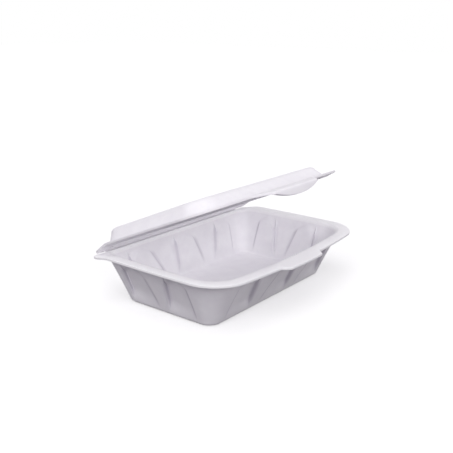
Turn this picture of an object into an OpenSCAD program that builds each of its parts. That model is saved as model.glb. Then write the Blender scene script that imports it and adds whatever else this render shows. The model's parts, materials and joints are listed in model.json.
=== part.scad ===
// Hinged foam meal box: a deep tub with fluted walls and a shallow lid, pressed from one white sheet
// and joined along the back by a pressed fold. A ledge on the tub's front rim takes the lid's tongue.
// X runs along the fold, Y from the latch at the front to the fold at the back, and Z is up.
// The origin is the middle of the tub's underside, and the lid stands part way open.

/* [Sheet] */
// Thickness of the foam sheet
foam_t = 2.2; // [1.6:0.1:3]
// Thickness of the sheet where it is pressed thinner, at the latch
pressed_t = 1.8; // [1.2:0.1:2.2]

/* [Rim] */
// Length of the rim along the fold
rim_l = 240; // [210:1:270]
// Width of the rim from the fold to its front corners
rim_w = 149; // [138:1:170]
// Width of the flat flange round the mouth
flange_w = 9; // [7:0.5:12]
// Radius of the rim's front corners
front_r = 30; // [24:1:36]
// Radius of the rim's back corners, before the fold cuts them
back_r = 16; // [13:1:24]
// How far the front of the rim bows out
front_bow = 9; // [0:0.5:12]
// How far each end of the rim bows out
end_bow = 2; // [0:0.5:4]
// How far the rim dips towards the fold
rim_dip = 3.5; // [0:0.5:5]
// Distance from the fold over which the rim dips
dip_run = 24; // [16:1:32]

/* [Tub] */
// Height of the tub, from the table to the face of its rim
tub_h = 50; // [42:1:62]
// How far the tub's walls lean out, from foot to mouth
tub_lean = 17; // [12:1:20]
// How far the mouth sits forward of the floor
mouth_shift = 2; // [0:0.5:4]
// Radius of the rounding between the tub's walls and its floor
tub_foot_r = 7; // [5:0.5:9]
// Radius of the tub's corners in plan, down at the foot
foot_corner_r = 12; // [9:1:15]

/* [Flutes] */
// Flutes on the front wall, and as many on the back
long_flutes = 3; // [2:1:4]
// Flutes on each end wall
short_flutes = 2; // [1:1:3]
// How deep a flute is pressed in at its step
flute_depth = 2.4; // [0.8:0.1:3]
// Height over which a flute runs out, at its top and at its foot
flute_fade = 12; // [6:0.5:14]
// Distance from the face of the rim down to the top of the flutes
flute_drop = 5; // [4:0.5:8]

/* [Lid] */
// Depth of the lid, from the face of its rim to its top
lid_h = 15; // [13:1:26]
// How far the lid's walls lean in, from rim to top
lid_lean = 7; // [5:0.5:12]
// How far the lid's rim stays inside the tub's, at the front and at each end
lid_inset = 4; // [0:0.5:5]
// Radius of the rounding between the lid's walls and its top
lid_top_r = 5; // [4:0.5:7]
// How far the lid stands open
lid_angle = 23.5; // [0:0.5:180]

/* [Fold] */
// Distance from the mouth to the fold
fold_set = 2.5; // [2.5:0.5:6]
// Radius of the rolled bead along the fold
fold_r = 1.1; // [0.8:0.1:1.3]
// Distance from each end of the rim to the end of the bead
fold_inset = 17; // [14:1:30]
// Gap between the bead and the lid
fold_gap = 0.3; // [0.2:0.05:0.5]
// Gap between the two rims of the shut box
rim_gap = 0.4; // [0.2:0.1:0.8]

/* [Latch] */
// Sideways place of the latch from the middle of the front
latch_x = -9; // [-20:0.5:20]
// Width of the tub's ledge where it leaves the rim
ledge_root_w = 69; // [50:1:80]
// How far the ledge stands out from the rim, with ends cut back as far
ledge_reach = 7; // [4:0.5:9]
// How far the lid's plate and tongue run past the ledge at each end
tongue_side = 14; // [8:0.5:18]
// Gap between the ledge and the tongue
tongue_gap = 0.6; // [0.4:0.1:1]
// How far the middle of the tongue hangs below the face of the lid's rim
tongue_drop = 6.5; // [5:0.5:12]

/* [Hidden] */

foam_white = "#f4f5f7";

// Radius of the bend from wall to flange, on its inner side
mouth_bend_r = 1.5;
// Steps in a corner in plan, in a bend of the section, and in the run-out of a flute
corner_steps = 8;
bend_steps = 4;
fade_steps = 4;
// Spans across the plain wall before a flute, and across the slope of the flute
plain_spans = 3;
flute_spans = 3;

// The span of all flutes and the place of the last step, in half-lengths of the straight wall
flute_span_share = 2.2;
last_step_share = 0.97;
// The width of a step in half-lengths, and the slanted crease's place and lean in flute pitches
step_width_share = 0.035;
crease_share = 0.5;
crease_lean_share = 0.3;

// The mouth is the sharp line where wall and flange would meet, without the bows
mouth_hx = rim_l / 2 - end_bow - flange_w;
mouth_hy = (rim_w - fold_set - flange_w) / 2;
fold_y = mouth_hy + fold_set - mouth_shift;
fold_z = tub_h - rim_dip + rim_gap / 2;
front_y = -mouth_hy - flange_w - front_bow - mouth_shift;
// Radius of the rim's corner at the start of each side, and again at the end of the last
side_corner_r = [front_r, front_r, back_r, back_r, front_r];

function smooth(q) = q * q * (3 - 2 * q);

function mix(a, b, q) = a + (b - a) * q;

// A column is a line up the wall: [side, place at the foot, place at the mouth, turn, depth share].
// Places are in half-lengths of the straight wall, and the turn runs round the corner at its end.

// The plain wall before a flute, and the flute from its slanted crease to its step
function flute_places(step, pitch) =
    let (
        before = max(step - pitch, -1),
        crease = step - pitch * crease_share,
        crease_foot = max(crease - pitch * crease_lean_share, -last_step_share),
        deep = step - step_width_share
    )
    [
        for (i = [1:plain_spans - 1])
            let (q = i / plain_spans)
            [mix(before, crease_foot, q), mix(before, crease, q), 0],
        for (i = [0:flute_spans])
            let (q = i / flute_spans)
            [mix(crease_foot, deep, q), mix(crease, deep, q), q],
        [step, step, 0],
    ];

function fluted_places(count) =
    let (pitch = flute_span_share / count)
    [for (k = [count - 1:-1:0]) each flute_places(last_step_share - k * pitch, pitch)];

// The same wall run the other way round the box
function turned_about(places) =
    [for (i = [len(places) - 1:-1:0]) [-places[i][0], -places[i][1], places[i][2]]];

function side_columns(side, places) =
    concat(
        [for (p = places) [side, p[0], p[1], 0, p[2]]],
        [for (i = [0:corner_steps]) [side, 1, 1, 90 * i / corner_steps, 0]]
    );

// All columns round the box, seen from above against the clock: front, right, back, left
function box_columns(long_places, short_places) =
    concat(
        side_columns(0, long_places),
        side_columns(1, turned_about(short_places)),
        side_columns(2, long_places),
        side_columns(3, turned_about(short_places))
    );

// Tub and lid share the columns, so that their flanges meet all round
wall_columns = box_columns(fluted_places(long_flutes), fluted_places(short_flutes));

// The section through wall and flange, as [distance out from the mouth, height, flute share].
// A shift of zero gives the outer face, and a shift of foam_t the inner face beside it.
function section(h, lean, foot_r, rows, shift) =
    let (
        slope = atan(h / lean),
        foot_x = -lean - foot_r * tan(slope / 2),
        bend_low = h - foam_t - mouth_bend_r * (1 - cos(slope)),
        bend_x = (bend_low - h) / tan(slope) + mouth_bend_r * sin(slope)
    )
    concat(
        [
            for (i = [0:bend_steps])
                let (t = slope * i / bend_steps)
                [foot_x + (foot_r - shift) * sin(t), foot_r - (foot_r - shift) * cos(t), 0]
        ],
        [
            for (row = rows)
                [
                    (row[0] - h) / tan(slope) - shift * sin(slope),
                    row[0] + shift * cos(slope),
                    row[1]
                ]
        ],
        [
            for (i = [bend_steps:-1:0])
                let (t = slope * i / bend_steps, r = mouth_bend_r + shift)
                [bend_x - r * sin(t), h - foam_t - mouth_bend_r + r * cos(t), 0]
        ],
        [[flange_w, h - foam_t + shift, 0]]
    );

// Heights up the tub's wall where the flutes start, are full, and run out again
flute_low = tub_foot_r;
flute_top = tub_h - flute_drop;
flute_rows =
    [
        for (i = [0:fade_steps])
            [flute_low + flute_fade * i / fade_steps, smooth(i / fade_steps)],
        for (i = [fade_steps:-1:0])
            [flute_top - flute_fade * i / fade_steps, smooth(i / fade_steps)],
    ];

// Radius in plan of the corner at the start of a side, growing from the foot out to the rim
function corner_r(side, out) =
    mix(foot_corner_r, side_corner_r[side], max(out + tub_lean, 0) / (flange_w + tub_lean));

// The point of a column at one row of the section, with the bows, the cut along the fold and the dip
function shell_point(column, row, h, lean, inset, dip, back_y) =
    let (
        out = row[0],
        rise = min(max(row[1] / h, 0), 1),
        hx = mouth_hx + out - inset,
        hy = mouth_hy + out - inset / 2,
        side = column[0],
        along = side % 2 == 0 ? hx : hy,
        across = side % 2 == 0 ? hy : hx,
        start_r = corner_r(side, out),
        end_r = corner_r(side + 1, out),
        place = (1 + mix(column[1], column[2], rise)) / 2,
        pressed = column[4] * row[2] * flute_depth,
        u = mix(start_r - along, along - end_r, place) + end_r * sin(column[3]),
        v = pressed - across + end_r * (1 - cos(column[3])),
        x = u * cos(90 * side) - v * sin(90 * side),
        y = u * sin(90 * side) + v * cos(90 * side),
        spread = min(max(1 + out / lean, 0), 1),
        bow_x = end_bow * spread * (1 - pow(y / hy, 2)) * x / hx,
        bow_y = y < 0 ? front_bow * spread * (1 - pow(x / hx, 2)) * y / hy : 0,
        shut_y = min(y + bow_y + inset / 2 - mouth_shift * spread, back_y),
        dip_share = smooth(min(max(1 - (fold_y - shut_y) / dip_run, 0), 1))
    )
    [x + bow_x, shut_y, row[1] + dip * dip_share * rise];

// A tray of even thickness: rings up its outer face, over the flange's edge and down its inner face,
// closed by a fan of facets at the middle of the floor on either face
module shell(h, lean, foot_r, rows, inset, dip, back_y) {
    outer = section(h, lean, foot_r, rows, 0);
    inner = section(h, lean, foot_r, rows, foam_t);
    rings = concat(outer, [for (i = [len(inner) - 1:-1:0]) inner[i]]);
    n = len(wall_columns);
    last = (len(rings) - 1) * n;
    points =
        [
            for (row = rings)
                for (column = wall_columns)
                    shell_point(column, row, h, lean, inset, dip, back_y),
            [0, 0, 0],
            [0, 0, foam_t],
        ];
    below = len(rings) * n;
    faces =
        [
            for (j = [0:n - 1])
                let (next = (j + 1) % n)
                each [
                    [below, j, next],
                    for (i = [0:n:last - n])
                        each [
                            [i + next, i + j, i + n + j],
                            [i + next, i + n + j, i + n + next],
                        ],
                    [below + 1, last + next, last + j],
                ]
        ];
    polyhedron(points = points, faces = faces, convexity = 6);
}

// A plate that leaves the edge of a front flange and narrows as far as it stands out
module latch_plate(root_w, edge_y, reach, z) {
    translate([latch_x, edge_y, z])
        linear_extrude(pressed_t, center = true)
            polygon([
                [-root_w / 2, flange_w / 2],
                [-root_w / 2, 0],
                [reach - root_w / 2, -reach],
                [root_w / 2 - reach, -reach],
                [root_w / 2, 0],
                [root_w / 2, flange_w / 2],
            ]);
}

module tub() {
    color(foam_white) {
        shell(tub_h, tub_lean, tub_foot_r, flute_rows, 0, -rim_dip, fold_y);
        latch_plate(ledge_root_w, front_y, ledge_reach, tub_h - foam_t / 2);
        translate([0, fold_y, fold_z])
            rotate([0, 90, 0])
                cylinder(r = fold_r, h = rim_l - 2 * fold_inset, center = true, $fn = 24);
    }
}

// The tongue hangs from the lid's plate in front of the ledge, with a round lower edge
module tongue(tip_w, tip_y) {
    round_r = (pow(tip_w / 2, 2) + pow(tongue_drop, 2)) / (2 * tongue_drop);
    translate([latch_x, tip_y + pressed_t, tub_h + rim_gap])
        rotate([90, 0, 0])
            linear_extrude(pressed_t)
                intersection() {
                    translate([0, round_r - tongue_drop])
                        circle(round_r, $fn = 180);
                    translate([-tip_w / 2, -tongue_drop])
                        square([tip_w, tongue_drop + foam_t / 2]);
                }
}

module shut_lid() {
    edge_y = front_y + lid_inset;
    reach = lid_inset + ledge_reach + tongue_gap + pressed_t;
    plate_w = ledge_root_w + 2 * tongue_side;
    translate([0, 0, tub_h + rim_gap + lid_h])
        mirror([0, 0, 1])
            shell(lid_h, lid_lean, lid_top_r, [], lid_inset, rim_dip, fold_y - fold_r - fold_gap);
    latch_plate(plate_w, edge_y, reach, tub_h + rim_gap + foam_t / 2);
    tongue(plate_w - 2 * reach, edge_y - reach);
}

module lid() {
    color(foam_white)
        translate([0, fold_y, fold_z])
            rotate([-lid_angle, 0, 0])
                translate([0, -fold_y, -fold_z])
                    shut_lid();
}

tub();
lid();
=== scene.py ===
# %% [markdown]
# # A foam burger box
# The box is pressed from one sheet of white polystyrene foam: a deep tub, a shallow lid,
# and a fold that is the hinge. This lesson rebuilds both trays over a CAD frame, so that
# every wall lands where the frame has it and the lid still turns on its fold.

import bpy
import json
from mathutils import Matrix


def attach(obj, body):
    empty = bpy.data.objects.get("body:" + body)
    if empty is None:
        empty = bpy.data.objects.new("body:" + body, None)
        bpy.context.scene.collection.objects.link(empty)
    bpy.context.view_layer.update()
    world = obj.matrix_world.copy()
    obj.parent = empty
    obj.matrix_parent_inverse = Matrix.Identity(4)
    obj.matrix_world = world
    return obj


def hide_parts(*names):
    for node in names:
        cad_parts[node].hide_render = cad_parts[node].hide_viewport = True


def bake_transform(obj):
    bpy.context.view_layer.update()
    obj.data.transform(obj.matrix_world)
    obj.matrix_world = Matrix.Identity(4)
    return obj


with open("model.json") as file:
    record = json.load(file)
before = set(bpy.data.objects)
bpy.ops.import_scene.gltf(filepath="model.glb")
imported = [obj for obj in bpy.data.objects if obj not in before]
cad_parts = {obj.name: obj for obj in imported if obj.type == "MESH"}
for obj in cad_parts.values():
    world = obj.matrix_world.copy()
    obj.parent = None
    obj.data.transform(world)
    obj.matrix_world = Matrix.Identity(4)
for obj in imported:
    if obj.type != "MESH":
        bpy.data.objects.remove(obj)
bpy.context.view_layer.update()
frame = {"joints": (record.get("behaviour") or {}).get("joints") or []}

# %% [markdown]
# ## Sizes
# Blender works in metres, but a packaging maker thinks in millimetres, so the sizes below
# are in millimetres and every finished mesh is scaled once at the end. The fold's place and
# the angle from shut to the pose in the frame come from the frame's own joint.

# %% Sizes of the pressed sheet
import json
import math
import bmesh
import bpy
from mathutils import Matrix, Vector, noise

MM = 0.001
SHEET = 2.2  # thickness of the foam
FLANGE = 9.0  # width of the flat rim
fold = frame["joints"][0]
FOLD_Y, FOLD_Z = (v / MM for v in fold["pos_m"][1:])
LID_OPEN = -math.radians(fold["range_deg"][0])
print(f"fold at y {FOLD_Y:.2f}, z {FOLD_Z:.2f} mm")
print(f"lid open {math.degrees(LID_OPEN):.1f} degrees")

# %% [markdown]
# ## The outline of a tray
# Seen from above, both trays are rectangles with round corners. The front bows forward, the
# two ends bow a little, and the back is cut straight at the fold. A drawn curve could give
# this outline, but it changes all the way from foot to rim. So one function gives the place
# of any point: `column` says where it is round the outline, `out` how far it is outside the
# mouth, and `z` its height. Writing the outline once keeps the two rims alike.

# %% Place of a point on a tray
MOUTH = Vector((109.0, 68.75))  # half the length and half the width
# Corner radii of the rim: front left, front right, back right, back left, front left again.
CORNERS = (30.0, 30.0, 16.0, 16.0, 30.0)
FOOT_CORNER = 12.0
TUB_LEAN = 17.0  # how far the wall leans out between floor and mouth
FRONT_BOW, END_BOW, MOUTH_SHIFT = 9.0, 1.9, 2.0
RIM_DIP, DIP_RUN = 3.5, 24.0  # both rims dip towards the fold over this run
FOLD_BACK = 0.4  # from the cut back edge to the fold line


def ease(share):
    share = min(max(share, 0.0), 1.0)
    return share * share * (3 - 2 * share)


def between(start, end, share):
    return start + (end - start) * share


def corner_radius(side, out):
    grown = max(out + TUB_LEAN, 0.0) / (FLANGE + TUB_LEAN)
    return between(FOOT_CORNER, CORNERS[side], grown)


def tray_point(column, out, z, tray, press=0.0):
    side, foot_place, mouth_place, turn = column[:4]
    rise = min(max(z / tray["height"], 0.0), 1.0)
    half = MOUTH + Vector((out - tray["inset"], out - tray["inset"] / 2))
    along, across = (half.x, half.y) if side % 2 == 0 else (half.y, half.x)
    start, end = corner_radius(side, out), corner_radius(side + 1, out)
    place = (1 + foot_place + (mouth_place - foot_place) * rise) / 2
    flat = Vector((
        start - along + (2 * along - start - end) * place + end * math.sin(turn),
        press - across + end * (1 - math.cos(turn)),
    ))
    x, y = Matrix.Rotation(side * math.pi / 2, 2) @ flat
    # The floor is a plain rectangle, and the bows grow from it towards the mouth.
    spread = min(max(1 + out / tray["lean"], 0.0), 1.0)
    bow_x = END_BOW * spread * (1 - (y / half.y) ** 2) * x / half.x
    bow_y = FRONT_BOW * spread * (1 - (x / half.x) ** 2) * y / half.y if y < 0 else 0.0
    y = min(y + bow_y + tray["inset"] / 2 - MOUTH_SHIFT * spread, FOLD_Y - FOLD_BACK)
    dip = tray["dip"] * ease(1 - (FOLD_Y - y) / DIP_RUN) * rise
    return Vector((x + bow_x, y, z + dip))


# `foot` is the radius between floor and wall, and `inset` draws the lid's mouth in.
TUB = {"height": 50.0, "lean": TUB_LEAN, "foot": 4.5, "inset": 0.0, "dip": -RIM_DIP}
LID = {"height": 15.0, "lean": 7.0, "foot": 5.0, "inset": 4.0, "dip": RIM_DIP}
middle = tray_point((0, 0, 0, 0), FLANGE, TUB["height"], TUB)
print("middle of the front rim, mm:", [round(v, 1) for v in middle])

# %% [markdown]
# ## Columns round the tub
# The tub's walls are stiffened by flutes. Each one is a wedge pressed into the wall: it
# starts at a slanted crease, gets deeper along the wall, and ends at a step. Crease and step
# lean towards each other, so a flute is narrower at its top. The columns of the mesh follow
# both, so that they stay crisp with few faces. A bump texture could fake them, but it would
# leave the outline smooth.
# A column holds its side, its places along that side at the foot and at the mouth, its turn
# round the corner, its share of a flute's depth, and the painted shade on its line. The
# foam's material greys the foam by that last number: painted shade along creases and steps.

# %% Columns that follow the flutes
CORNER_STEPS, PLAIN_SPANS = 14, 7
LONG_SIDE_FLUTES, SHORT_SIDE_FLUTES = 3, 2
# Places along a wall run from -1 at its start to 1 at its end.
LAST_STEP, FLUTE_SPAN, STEP_WIDTH = 0.97, 2.2, 0.034
# Shares of the distance from one step to the next.
CREASE, CREASE_LEAN, STEP_LEAN = 0.5, 0.3, 0.12
# Shares of the way from the crease to the step, and the painted shade at each line.
POCKET_SHARES = (0, 0.03, 0.06, 0.1, 0.18, 0.28, 0.4, 0.52, 0.64, 0.76, 0.88)
CREASE_PAINTED_SHADE = {0: 0.5, 0.03: 1.0, 0.06: 0.5}
STEP_PAINTED_SHADE = (0.3, 0.8, 1.0, 0.8, 0.3)


def flute_columns(count):
    pitch = FLUTE_SPAN / count
    columns, last_foot, last_mouth = [], -1.0, -1.0
    for k in reversed(range(count)):
        step = LAST_STEP - k * pitch
        deep, lean = step - STEP_WIDTH, pitch * STEP_LEAN
        crease = step - pitch * CREASE
        crease_foot = max(crease - pitch * CREASE_LEAN, -LAST_STEP)
        for i in range(1, PLAIN_SPANS):
            q = i / PLAIN_SPANS
            foot, mouth = between(last_foot, crease_foot, q), between(last_mouth, crease, q)
            columns.append((foot, mouth, 0.0, 0.0))
        for q in POCKET_SHARES:
            foot, mouth = between(crease_foot, deep, q), between(crease, deep - lean, q)
            columns.append((foot, mouth, q, CREASE_PAINTED_SHADE.get(q, 0.0)))
        for i, painted_shade in enumerate(STEP_PAINTED_SHADE):
            q = i / (len(STEP_PAINTED_SHADE) - 1)
            foot = between(deep, step, q)
            columns.append((foot, foot - lean, 1 - ease(q), painted_shade))
        last_foot, last_mouth = step, step - lean
    return columns


def outline_columns(long_side, short_side):
    columns = []
    turns = [math.pi / 2 * i / CORNER_STEPS for i in range(CORNER_STEPS + 1)]
    turned = [(-foot, -mouth, *rest) for foot, mouth, *rest in reversed(short_side)]
    for side, places in enumerate((long_side, turned, long_side, turned)):
        columns += [(side, foot, mouth, 0.0, *rest) for foot, mouth, *rest in places]
        columns += [(side, 1.0, 1.0, turn, 0.0, 0.0) for turn in turns]
    return columns


tub_columns = outline_columns(
    flute_columns(LONG_SIDE_FLUTES), flute_columns(SHORT_SIDE_FLUTES))
print("columns round the tub:", len(tub_columns))

# %% [markdown]
# ## From the foot to the rim
# A pressed tray has a section that never changes: flat floor, round foot, leaning wall, a
# small bend and a flat rim. The list of rows walks up that section on the outer face, over
# the cut edge of the rim, and down again on the inner face, one sheet thickness away. A
# Solidify modifier could give the thickness, but it tears where the flutes step sharply.
# Each row is a distance out from the mouth, a height, and the height that its flute is
# read at.

# %% Rows of the section
MOUTH_BEND = 1.5  # radius under the rim
FOOT_STEPS, BEND_STEPS, TUB_WALL_ROWS = 8, 5, 30


def face_rows(tray, wall_rows, shift):
    height, lean, foot = tray["height"], tray["lean"], tray["foot"]
    slope = math.atan2(height, lean)
    foot_out, foot_radius = -lean - foot * math.tan(slope / 2), foot - shift
    rows = []
    for i in range(FOOT_STEPS + 1):
        t = slope * i / FOOT_STEPS
        rows.append((foot_out + foot_radius * math.sin(t), foot - foot_radius * math.cos(t), 0.0))
    bend_low = height - SHEET - MOUTH_BEND * (1 - math.cos(slope))
    low = foot * (1 - math.cos(slope))
    for i in range(1, wall_rows):
        z = low + (bend_low - low) * i / wall_rows
        out = (z - height) / math.tan(slope)
        rows.append((out - shift * math.sin(slope), z + shift * math.cos(slope), z))
    bend_out = (bend_low - height) / math.tan(slope) + MOUTH_BEND * math.sin(slope)
    radius = MOUTH_BEND + shift
    for i in range(BEND_STEPS + 1):
        t = slope * (1 - i / BEND_STEPS)
        z = height - SHEET - MOUTH_BEND + radius * math.cos(t)
        rows.append((bend_out - radius * math.sin(t), z, height))
    return rows + [(FLANGE, height - SHEET + shift, height)]


def section_rows(tray, wall_rows):
    return face_rows(tray, wall_rows, 0.0) + face_rows(tray, wall_rows, SHEET)[::-1]


tub_rows = section_rows(TUB, TUB_WALL_ROWS)
print("rows up and down the tub:", len(tub_rows))

# %% [markdown]
# ## Raising a tray
# The tray starts as a ring of vertices from `create_circle`. Each row extrudes the open
# edge and moves the new vertices to their places, as a press draws up the sheet. Bridging
# separate rings would give the same faces, but here each ring is joined to the last one
# from the start. The floor is filled last on both faces and inset once, so that the shading
# of the foot stays round.
# A float layer of the mesh keeps the painted shade at each point; below zero it is a painted
# highlight.

# %% Helper that raises a tray by extrusion
INNER_PAINTED_SHADE = 0.6  # share of the painted shade that the inner face shows
FLOOR_INSET = 4.0


def only(kind, made):
    return [part for part in made if isinstance(part, kind)]


def parent_of(vert, parents):
    return next(e.other_vert(vert) for e in vert.link_edges if e.other_vert(vert) in parents)


def raise_tray(columns, rows, place, painted_shade):
    bm = bmesh.new()
    painted_shade_and_highlight = bm.verts.layers.float.new("painted_shade_and_highlight")
    ring = bmesh.ops.create_circle(bm, cap_ends=False, segments=len(columns), radius=1)["verts"]
    for vert, column in zip(ring, columns):
        vert.co = place(column, *rows[0])
    edges = outer_foot = list(bm.edges)
    rim_step = len(rows) // 2
    for step, row in enumerate(rows[1:], 1):
        shown = 1.0 if step < rim_step else INNER_PAINTED_SHADE
        below = {vert: i for i, vert in enumerate(ring)}
        made = bmesh.ops.extrude_edge_only(bm, edges=edges)["geom"]
        ring = [None] * len(columns)
        for vert in only(bmesh.types.BMVert, made):
            index = below[parent_of(vert, below)]
            ring[index] = vert
            vert.co = place(columns[index], *row)
            vert[painted_shade_and_highlight] = painted_shade(columns[index], row[2]) * shown
        edges = [bm.edges.get((ring[i - 1], ring[i])) for i in range(len(ring))]
        if step == rim_step:
            cut_edge, inner_rim = only(bmesh.types.BMFace, made), set(ring)
    for foot in (outer_foot, edges):
        floor = bmesh.ops.contextual_create(bm, geom=foot)["faces"]
        bmesh.ops.inset_region(bm, faces=floor, thickness=FLOOR_INSET, use_even_offset=True)
    return bm, cut_edge, inner_rim


print("extrusions that raise the tub:", len(tub_rows) - 1)

# %% [markdown]
# ## The fluted wall
# A flute is deepest at its step and runs out under an arched top, well below the rim, and
# again above the foot. Painted shade greys the foam along the crease, the step and the arch.
# The rim's number is below zero: a painted highlight that makes it the whitest.
# The sheet is also never perfectly even: a slow wave of a fifth of a millimetre takes the
# machined look off the walls. A Displace modifier could add it, but it would move the rims
# too, which have to meet.

# %% Depth of a flute
# Depth at the step, the arch's drop below the rim in its middle, and its height.
FLUTE_DEPTH, FLUTE_DROP, FLUTE_ARCH = 3.0, 4.5, 7.0
# Runs over which a flute fades out at its top and its foot, and the height it starts at.
TOP_FADE, FOOT_FADE, FLUTE_LOW = 6.0, 15.0, 3.0
# A crease has this share of the depth at once, over this share of the flute.
CREASE_LIP, CREASE_RUN = 0.28, 0.06


def flute_top(share):
    return TUB["height"] - FLUTE_DROP - FLUTE_ARCH * (2 * share - 1) ** 2


def flute_fade(share, z):
    return ease((flute_top(share) - z) / TOP_FADE) * ease((z - FLUTE_LOW) / FOOT_FADE)


def flute_press(share, z):
    lip = CREASE_LIP * ease(share / CREASE_RUN)
    return FLUTE_DEPTH * flute_fade(share, z) * (lip + (1 - CREASE_LIP) * share)


print("depth at a step, half way up, mm:", round(flute_press(1.0, TUB["height"] / 2), 2))

# %% Painted shade and highlight on the foam
# The painted shade along an arch, half the width of that line, and the painted highlight on the
# rim.
ARCH_PAINTED_SHADE, ARCH_WIDTH, RIM_PAINTED_HIGHLIGHT = 0.12, 3.0, 0.8


# Painted shade on the flute lines, below zero at the rim for a painted highlight.
def flute_painted_shade(column, z):
    share, line = column[4:]
    if z >= TUB["height"]:
        return -RIM_PAINTED_HIGHLIGHT
    arch = ease(1 - abs((flute_top(share) - z) / ARCH_WIDTH - 1)) if share > 0 else 0.0
    return max(line * flute_fade(share, z), ARCH_PAINTED_SHADE * arch)


print("squeeze at the rim:", flute_painted_shade(tub_columns[0], TUB["height"]))

# %% Raise the tub
# Size and length of the wave, and the strip under the rim that it leaves alone.
WAVE, WAVE_LENGTH, RIM_CLEAR = 0.2, 32.0, 4.0


def waved(point, z, tray, foot_run, rim_run):
    calm = ease(z / foot_run) * ease((tray["height"] - RIM_CLEAR - z) / rim_run)
    inward = -Vector((point.x, point.y, 0)).normalized()
    return point + inward * WAVE * calm * (1 + noise.noise(point / WAVE_LENGTH))


def tub_place(column, out, z, flute_z):
    point = tray_point(column, out, z, TUB, flute_press(column[4], flute_z))
    return waved(point, flute_z, TUB, foot_run=10, rim_run=10)


tub_mesh, tub_edge, tub_rim = raise_tray(tub_columns, tub_rows, tub_place, flute_painted_shade)
print("faces of the tub:", len(tub_mesh.faces))

# %% [markdown]
# ## The latch ledge
# On the front rim a short ledge stands out, for the lid's tongue to catch under. It could
# be a plate of its own, but that would leave a seam. It is the same sheet, so the cut edge
# of the rim is extruded there, and drawn in at both ends. The helper takes a path, because
# the lid's tongue is drawn out in the same way later.

# %% Draw part of a rim's cut edge outwards
LATCH_X = -9.0  # middle of the latch
LEDGE_ROOT, LEDGE_REACH = 69.0, 6.9  # width at the rim, and how far it stands out
LEDGE_SHARES = (0.3, 0.65, 1.0)


def in_latch(face, root):
    return all(v.co.y < 0 and abs(v.co.x - LATCH_X) <= root / 2 for v in face.verts)


def draw_out(bm, cut_edge, inner_rim, root, path):
    faces = [face for face in cut_edge if in_latch(face, root)]
    home = {v: (v.co.copy(), v in inner_rim) for face in faces for v in face.verts}
    width = max(abs(co.x - LATCH_X) for co, _ in home.values())
    count = len(faces)
    for step in path:
        made = bmesh.ops.extrude_face_region(bm, geom=faces)["geom"]
        # The operator leaves the old faces inside the sheet.
        bmesh.ops.delete(bm, geom=faces, context="FACES")
        faces = only(bmesh.types.BMFace, made)
        moved = {}
        for vert in only(bmesh.types.BMVert, made):
            moved[vert] = co, inner = home[parent_of(vert, home)]
            aside = co.x - LATCH_X
            reach, drop = step(aside, inner)
            vert.co = co + Vector((-aside * reach / width, -reach, -drop))
        home = moved
    return count


ledge_path = [lambda aside, inner, r=r: (LEDGE_REACH * r, 0.0) for r in LEDGE_SHARES]
drawn = draw_out(tub_mesh, tub_edge, tub_rim, LEDGE_ROOT, ledge_path)
print("faces drawn out for the ledge:", drawn)

# %% [markdown]
# ## Finishing a pressed piece
# The mesh is scaled to metres and its normals are set. The cut edge of the sheet is
# slightly round. The bevel operator could do it, but a live Bevel modifier keeps the mesh
# light and can still be changed. It rounds the cut edge only: every bend inside the sheet
# is flatter than its limit.

# %% Helper that finishes a pressed piece
EDGE_ROUND, EDGE_SEGMENTS, EDGE_LIMIT = 0.5, 3, 60  # the limit is in degrees


def finish_mesh(name, bm):
    bmesh.ops.scale(bm, vec=Vector((MM, MM, MM)), verts=bm.verts)
    bmesh.ops.recalc_face_normals(bm, faces=bm.faces)
    for face in bm.faces:
        face.smooth = True
    mesh = bpy.data.meshes.new(name)
    bm.to_mesh(mesh)
    bm.free()
    piece = bpy.data.objects.new(name, mesh)
    bpy.context.scene.collection.objects.link(piece)
    return piece


def round_cut_edge(piece):
    edge = piece.modifiers.new("rounded cut edge", "BEVEL")
    edge.width = EDGE_ROUND * MM
    edge.segments = EDGE_SEGMENTS
    edge.profile = 0.5
    edge.limit_method = "ANGLE"
    edge.angle_limit = math.radians(EDGE_LIMIT)


tub = finish_mesh("tub_shell", tub_mesh)
round_cut_edge(tub)
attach(tub, "tub")
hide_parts("tub")
print("tub shell:", len(tub.data.polygons), "faces")

# %% [markdown]
# ## The lid
# The lid is the same kind of tray, shallow and plain, pressed the other way up. It is
# raised as it would lie on its top, and mirrored by a negative scale: the same helpers then
# serve both trays. A negative scale turns the faces inside out, which is why `finish_mesh`
# sets the normals after it.

# %% Raise the lid
RIM_GAP = 0.4  # between the rims when the box is shut
LID_FLARE = 1.9  # how far the edge of the lid's rim turns up
LID_WALL_ROWS, LONG_SPANS, SHORT_SPANS = 8, 76, 44


def plain_columns(count):
    return [(-1 + 2 * i / count, -1 + 2 * i / count, 0.0, 0.0) for i in range(1, count)]


def lid_place(column, out, z, flute_z):
    point = tray_point(column, out, z, LID)
    point.z -= LID_FLARE * ease(out / FLANGE) * (1 - ease(1 - (FOLD_Y - point.y) / DIP_RUN))
    return waved(point, flute_z, LID, foot_run=4, rim_run=6)


# The lid gets no painted shade.
def no_painted_shade(column, z):
    return 0.0


lid_columns = outline_columns(plain_columns(LONG_SPANS), plain_columns(SHORT_SPANS))
lid_rows = section_rows(LID, LID_WALL_ROWS)
lid_mesh, lid_edge, lid_rim = raise_tray(lid_columns, lid_rows, lid_place, no_painted_shade)
bmesh.ops.scale(lid_mesh, vec=Vector((1, 1, -1)), verts=lid_mesh.verts)
lid_top = TUB["height"] + RIM_GAP + LID["height"]
bmesh.ops.translate(lid_mesh, vec=Vector((0, 0, lid_top)), verts=lid_mesh.verts)
print("faces of the lid:", len(lid_mesh.faces))

# %% [markdown]
# ## The tongue
# The lid's front rim runs out into a plate, bends down in front of the ledge and ends in a
# round-edged tongue that a thumb pushes under it. It comes from the rim's edge too, by the
# helper that drew out the ledge: out, round a small bend, and down, further in the middle
# than at the ends.

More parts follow.
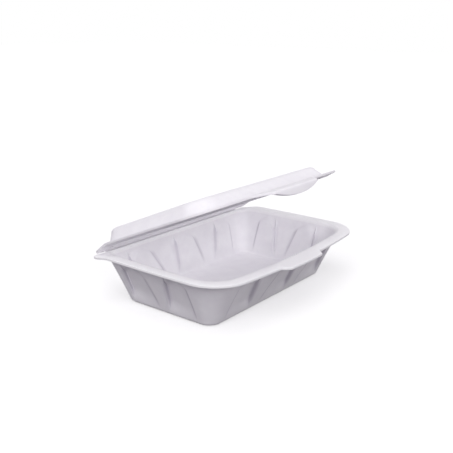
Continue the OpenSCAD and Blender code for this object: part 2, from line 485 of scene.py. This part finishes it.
# %% Depth of the tongue
# Width of the plate at the rim, the tongue's depth in its middle, and its bend's radius.
PLATE_ROOT, TONGUE_DROP, TONGUE_BEND = 97.0, 6.5, 2.6
TONGUE_GAP = 0.6  # between the tongue and the ledge
TONGUE_REACH = LID["inset"] + LEDGE_REACH + TONGUE_GAP + SHEET
tip = PLATE_ROOT / 2 - TONGUE_REACH
tongue_round = (tip ** 2 + TONGUE_DROP ** 2) / (2 * TONGUE_DROP)


def tongue_depth(aside, inner):
    at_tip = min(abs(aside) * tip / (PLATE_ROOT / 2), tip)
    hang = TONGUE_DROP - tongue_round + math.sqrt(tongue_round ** 2 - at_tip ** 2)
    return LID_FLARE + hang + (0.0 if inner else SHEET)


print("radius of the tongue's edge, mm:", round(tongue_round, 1))

# %% Draw the tongue out of the lid's rim
PLATE_SHARES, HANG_STEPS = (0.25, 0.5, 0.75, 1.0), 4
LEAST_HANG = 0.4  # keeps the tongue's ends from folding back into the bend
PLATE_REACH = TONGUE_REACH - TONGUE_BEND


def bend_radius(inner):
    return TONGUE_BEND - (SHEET if inner else 0.0)


def bend_step(inner, turn):
    radius = bend_radius(inner)
    return PLATE_REACH + radius * math.sin(turn), LID_FLARE + radius * (1 - math.cos(turn))


def hang_step(aside, inner, share):
    radius = bend_radius(inner)
    bent = LID_FLARE + radius
    depth = bent + max(tongue_depth(aside, inner) - bent, LEAST_HANG) * share
    return PLATE_REACH + radius, depth


bend_turns = [i / BEND_STEPS * math.pi / 2 for i in range(1, BEND_STEPS + 1)]
hang_shares = [i / HANG_STEPS for i in range(1, HANG_STEPS + 1)]
plate_path = [lambda aside, inner, r=r: (PLATE_REACH * r, LID_FLARE * r) for r in PLATE_SHARES]
bend_path = [lambda aside, inner, turn=turn: bend_step(inner, turn) for turn in bend_turns]
hang_path = [lambda aside, inner, r=r: hang_step(aside, inner, r) for r in hang_shares]
tongue_path = plate_path + bend_path + hang_path
drawn = draw_out(lid_mesh, lid_edge, lid_rim, PLATE_ROOT, tongue_path)
print("faces drawn out for the tongue:", drawn)

# %% [markdown]
# ## Opening the lid
# Up to here the lid lies shut on the tub. The frame holds it part way open, so the mesh is
# turned about the fold line. Turning the object would look the same, but a finished piece
# keeps its place in its mesh, so that patterns stay fixed to it.

# %% Turn the lid about its fold
open_turn = Matrix.Rotation(LID_OPEN, 3, Vector((-1, 0, 0)))
fold_line = Vector((0, FOLD_Y, FOLD_Z))
bmesh.ops.rotate(lid_mesh, cent=fold_line, matrix=open_turn, verts=lid_mesh.verts)
lid = finish_mesh("lid_shell", lid_mesh)
round_cut_edge(lid)
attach(lid, "lid")
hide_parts("lid")
print("lid shell:", len(lid.data.polygons), "faces")

# %% [markdown]
# ## The fold
# Tub and lid are one sheet, pressed thin along the back. Its section is a short run in the
# tub's rim, a turn round the fold line and a short run in the lid's rim, extruded along
# the back.

# %% Make the web of the fold
# Half its length, its distance from the fold line, its run in each rim, its thickness.
WEB_HALF, WEB_SET, WEB_RUN, WEB_SHEET = 100.0, 0.7, 2.2, 0.6
WEB_TURNS, WEB_SPANS = 12, 40
low_run = [Vector((0, -WEB_RUN * r, -WEB_SET)) for r in (1.0, 0.5)]
turns = [LID_OPEN + (math.pi - LID_OPEN) * i / WEB_TURNS for i in range(WEB_TURNS + 1)]
turn_run = [Vector((0, WEB_SET * math.sin(t), WEB_SET * math.cos(t))) for t in reversed(turns)]
high_run = [open_turn @ Vector((0, -WEB_RUN * r, WEB_SET)) for r in (0.5, 1.0)]
web_start = fold_line - Vector((WEB_HALF, 0, 0))
web_mesh = bmesh.new()
section = [web_mesh.verts.new(web_start + p) for p in low_run + turn_run + high_run]
web_edges = [web_mesh.edges.new(pair) for pair in zip(section, section[1:])]
web_span = Vector((2 * WEB_HALF / WEB_SPANS, 0, 0))
for _ in range(WEB_SPANS):
    made = bmesh.ops.extrude_edge_only(web_mesh, edges=web_edges)["geom"]
    web_edges = only(bmesh.types.BMEdge, made)
    bmesh.ops.translate(web_mesh, vec=web_span, verts=only(bmesh.types.BMVert, made))
bmesh.ops.recalc_face_normals(web_mesh, faces=web_mesh.faces)
bmesh.ops.solidify(web_mesh, geom=list(web_mesh.faces), thickness=WEB_SHEET)
web = finish_mesh("fold_web", web_mesh)
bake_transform(web)
print("fold web:", len(web.data.polygons), "faces")

# %% [markdown]
# ## White foam
# Pressed polystyrene foam is a matt white with a faint satin skin. Its cells, about half a
# millimetre across, give it a fine grain, and the pressing leaves slow cloudy patches that
# are a little denser. Light sinks into it, which softens every shadow on it. An image could
# carry all this, but it would have to be unwrapped onto each piece. The patterns here read
# Object coordinates in metres, so a scale is one over the size of the grain.

# %% Helpers for materials
def linear(hex_colour):
    channels = [int(hex_colour[i:i + 2], 16) / 255 for i in (1, 3, 5)]
    return (*[c / 12.92 if c <= 0.04045 else ((c + 0.055) / 1.055) ** 2.4 for c in channels], 1.0)


def bare_tree(owner):
    owner.use_nodes = True
    owner.node_tree.nodes.clear()
    return owner.node_tree


def add_node(tree, kind, inputs=None, **settings):
    node = tree.nodes.new(kind)
    for name, value in settings.items():
        setattr(node, name, value)
    for name, value in (inputs or {}).items():
        if isinstance(value, bpy.types.NodeSocket):
            tree.links.new(value, node.inputs[name])
        else:
            node.inputs[name].default_value = value
    return node


print("middle grey in linear light:", round(linear("#808080")[0], 3))

# %% Colour of the foam
# White pressed polystyrene foam: the eye sees a soft, faintly violet white, cloudy like
# paper. Greyer lines along creases, steps and arches are painted shade, and the whiter rim
# is a painted highlight.
CLOUD = 14.0
# The paler white is also the rim's painted highlight, and the greyer one part of the flute lines'
# painted shade.
GREY_CLOUD_AND_SHADE_WHITE, PALE_CLOUD_AND_RIM_WHITE = linear("#e9e6ec"), linear("#fbfafc")
PAINTED_SHADE_GREY, MOST_GREY = linear("#a9a4b0"), 0.65
foam = bpy.data.materials.new("white_pressed_foam")
tree = bare_tree(foam)
where = add_node(tree, "ShaderNodeTexCoord").outputs["Object"]
cloud = add_node(tree, "ShaderNodeTexNoise", {
    "Vector": where, "Scale": 1 / (CLOUD * MM), "Detail": 5.0, "Roughness": 0.65,
})
# Cloudy patches are a touch greyer than the rest. Painted shade pulls the flute lines to the
# greyer white, and a painted highlight pulls the rim to the paler one.
painted_shade_and_highlight = add_node(tree, "ShaderNodeAttribute", attribute_name="painted_shade_and_highlight")
cloud_and_painted_light = add_node(tree, "ShaderNodeMath", {
    0: cloud.outputs["Fac"], 1: painted_shade_and_highlight.outputs["Fac"],
}, operation="SUBTRACT")
tint = add_node(tree, "ShaderNodeMix", {
    "Factor": cloud_and_painted_light.outputs[0], "A": GREY_CLOUD_AND_SHADE_WHITE, "B": PALE_CLOUD_AND_RIM_WHITE,
}, data_type="RGBA")
# Painted shade: the foam along a crease, a step or an arch turns greyer.
painted_shade_share = add_node(tree, "ShaderNodeMath", {
    0: painted_shade_and_highlight.outputs["Fac"], 1: MOST_GREY,
}, operation="MULTIPLY")
colour = add_node(tree, "ShaderNodeMix", {
    "Factor": painted_shade_share.outputs[0], "A": tint.outputs["Result"], "B": PAINTED_SHADE_GREY,
}, data_type="RGBA")
print("cloudy patches of", CLOUD, "mm")

# %% Skin of the foam
# The cells are drawn slightly coarser than they are, so that they show in a close view.
CELL, CELL_DEPTH = 0.6, 0.06
DIMPLE, DIMPLE_DEPTH = 4.0, 0.15
cells = add_node(tree, "ShaderNodeTexVoronoi", {"Vector": where, "Scale": 1 / (CELL * MM)})
dimples = add_node(tree, "ShaderNodeTexNoise", {
    "Vector": where, "Scale": 1 / (DIMPLE * MM), "Detail": 2.0,
})
# The skin's roughness follows the slow dimples.
satin = add_node(tree, "ShaderNodeMapRange", {
    "Value": dimples.outputs["Fac"], "To Min": 0.44, "To Max": 0.6,
})
slow = add_node(tree, "ShaderNodeBump", {
    "Height": dimples.outputs["Fac"], "Strength": 0.25, "Distance": DIMPLE_DEPTH * MM,
})
grain = add_node(tree, "ShaderNodeBump", {
    "Height": cells.outputs["Distance"], "Normal": slow.outputs["Normal"],
    "Strength": 0.3, "Distance": CELL_DEPTH * MM,
})
skin = add_node(tree, "ShaderNodeBsdfPrincipled", {
    "Base Color": colour.outputs["Result"], "Roughness": satin.outputs["Result"],
    "Normal": grain.outputs["Normal"], "IOR": 1.45, "Specular IOR Level": 0.25,
    "Subsurface Weight": 0.2, "Subsurface Radius": (1.0, 0.97, 1.0),
    "Subsurface Scale": 1.0 * MM,
})
add_node(tree, "ShaderNodeOutputMaterial", {"Surface": skin.outputs["BSDF"]})
for piece in (tub, lid, web):
    piece.data.materials.append(foam)
print("foam on", [piece.name for piece in (tub, lid, web)])

# %% [markdown]
# ## Floor and light
# The box stands on a pale sweep with no visible horizon. Three soft lamps, from above, from
# the left and from the front, leave the outward-leaning walls in half shade and the inside
# bright. Camera, mirror and see-through rays meet plain white paper and a plain white
# backdrop, while the light that these give the box is weaker and slightly cool.
#
# Thin foam lets light through, but a solid mesh does not, and the tub would be dark under
# its lid. A translucent shader could mend that, at the price of a greyer foam. Shadow
# linking is simpler: the lid is left out of what blocks the top light.

# %% Floor
FLOOR_HALF = 6  # metres
floor_mesh = bmesh.new()
bmesh.ops.create_grid(floor_mesh, x_segments=1, y_segments=1, size=FLOOR_HALF)
floor_data = bpy.data.meshes.new("floor")
floor_mesh.to_mesh(floor_data)
floor_mesh.free()
floor = bpy.data.objects.new("floor", floor_data)
bpy.context.scene.collection.objects.link(floor)
print("floor", 2 * FLOOR_HALF, "m square")

# %% Paper of the floor
def seen_directly(tree):
    ray = add_node(tree, "ShaderNodeLightPath").outputs
    mirrored = add_node(tree, "ShaderNodeMath", {
        0: ray["Is Camera Ray"], 1: ray["Is Glossy Ray"],
    }, operation="MAXIMUM")
    either = add_node(tree, "ShaderNodeMath", {
        0: mirrored.outputs[0], 1: ray["Is Transmission Ray"],
    }, operation="MAXIMUM")
    return either.outputs[0]


# Matt white paper: it shows nothing but the box's soft shadow.
paper = bpy.data.materials.new("pale_paper_sweep")
tree = bare_tree(paper)
# Camera, mirror and see-through rays meet paper that is white in the light and keeps the
# box's shadow. The box itself gets the weaker bounce of a grey paper.
shaded = add_node(tree, "ShaderNodeBsdfDiffuse", {"Color": linear("#dadada")})
lift = add_node(tree, "ShaderNodeEmission", {"Color": linear("#ffffff"), "Strength": 0.47})
white = add_node(tree, "ShaderNodeAddShader", {0: shaded.outputs[0], 1: lift.outputs[0]})
bounce = add_node(tree, "ShaderNodeBsdfDiffuse", {"Color": linear("#605a65")})
choose = add_node(tree, "ShaderNodeMixShader", {
    0: seen_directly(tree), 1: bounce.outputs[0], 2: white.outputs[0],
})
add_node(tree, "ShaderNodeOutputMaterial", {"Surface": choose.outputs[0]})
floor_data.materials.append(paper)
print("floor of", paper.name)

# %% World
world = bpy.data.worlds.new("studio")
bpy.context.scene.world = world
tree = bare_tree(world)
room = add_node(tree, "ShaderNodeBackground", {"Color": linear("#f3f0f6"), "Strength": 0.59})
backdrop = add_node(tree, "ShaderNodeBackground", {"Color": linear("#ffffff"), "Strength": 1.0})
choose = add_node(tree, "ShaderNodeMixShader", {
    0: seen_directly(tree), 1: room.outputs[0], 2: backdrop.outputs[0],
})
add_node(tree, "ShaderNodeOutputWorld", {"Surface": choose.outputs[0]})
print("light of the room:", round(room.inputs["Strength"].default_value, 2))

# %% Lamps
# The pieces in `passes` cast no shadow from the lamp.
def soft_sun(name, strength, spread, way, passes=()):
    lamp_data = bpy.data.lights.new(name, "SUN")
    lamp_data.energy = strength
    lamp_data.angle = math.radians(spread)
    lamp = bpy.data.objects.new(name, lamp_data)
    lamp.rotation_mode = "QUATERNION"
    lamp.rotation_quaternion = Vector(way).to_track_quat("-Z", "Y")
    bpy.context.scene.collection.objects.link(lamp)
    if passes:
        clear = bpy.data.collections.new(name + "_passes")
        for piece in passes:
            clear.objects.link(piece)
        for member in clear.collection_objects:
            member.light_linking.link_state = "EXCLUDE"
        lamp.light_linking.blocker_collection = clear
    print(name, "strength", strength)


soft_sun("top_light", strength=0.62, spread=50, way=(0.40, 0.22, -0.89), passes=(lid,))
soft_sun("left_light", strength=0.65, spread=30, way=(0.89, 0.08, -0.45))
soft_sun("front_light", strength=0.85, spread=25, way=(0.36, 0.85, -0.39))

# %% [markdown]
# ## Camera
# The camera stands in front of the box's left corner, a little above it. Its place, its
# turn and its lens were fitted to the corners of the box in the picture, taken as 453 by
# 453 pixels, so the render can be laid over it.

# %% Camera
VIEW_TURN, VIEW_RISE, VIEW_ROLL = (math.radians(v) for v in (52.543, 16.469, 0.7895))
VIEW_PLACE = (-0.5159, -0.3915, 0.2531)  # metres
IMAGE_WIDTH, FOCAL_LENGTH = 453, 686.5  # pixels
SENSOR_WIDTH = 36.0
back = Vector((-math.sin(VIEW_TURN) * math.cos(VIEW_RISE),
               -math.cos(VIEW_TURN) * math.cos(VIEW_RISE), math.sin(VIEW_RISE)))
right = Vector((0, 0, 1)).cross(back).normalized()
up = back.cross(right)
turned_right = right * math.cos(VIEW_ROLL) + up * math.sin(VIEW_ROLL)
turned_up = up * math.cos(VIEW_ROLL) - right * math.sin(VIEW_ROLL)
camera_turn = Matrix((turned_right, turned_up, back)).transposed().to_4x4()
camera_data = bpy.data.cameras.new("camera")
camera_data.sensor_width = SENSOR_WIDTH
camera_data.lens = SENSOR_WIDTH * FOCAL_LENGTH / IMAGE_WIDTH
camera_data.clip_start = 0.01
camera = bpy.data.objects.new("camera", camera_data)
camera.matrix_world = Matrix.Translation(VIEW_PLACE) @ camera_turn
bpy.context.scene.collection.objects.link(camera)
bpy.context.scene.camera = camera
bpy.context.scene.view_settings.view_transform = "Standard"
print("lens, mm:", round(camera_data.lens, 2))
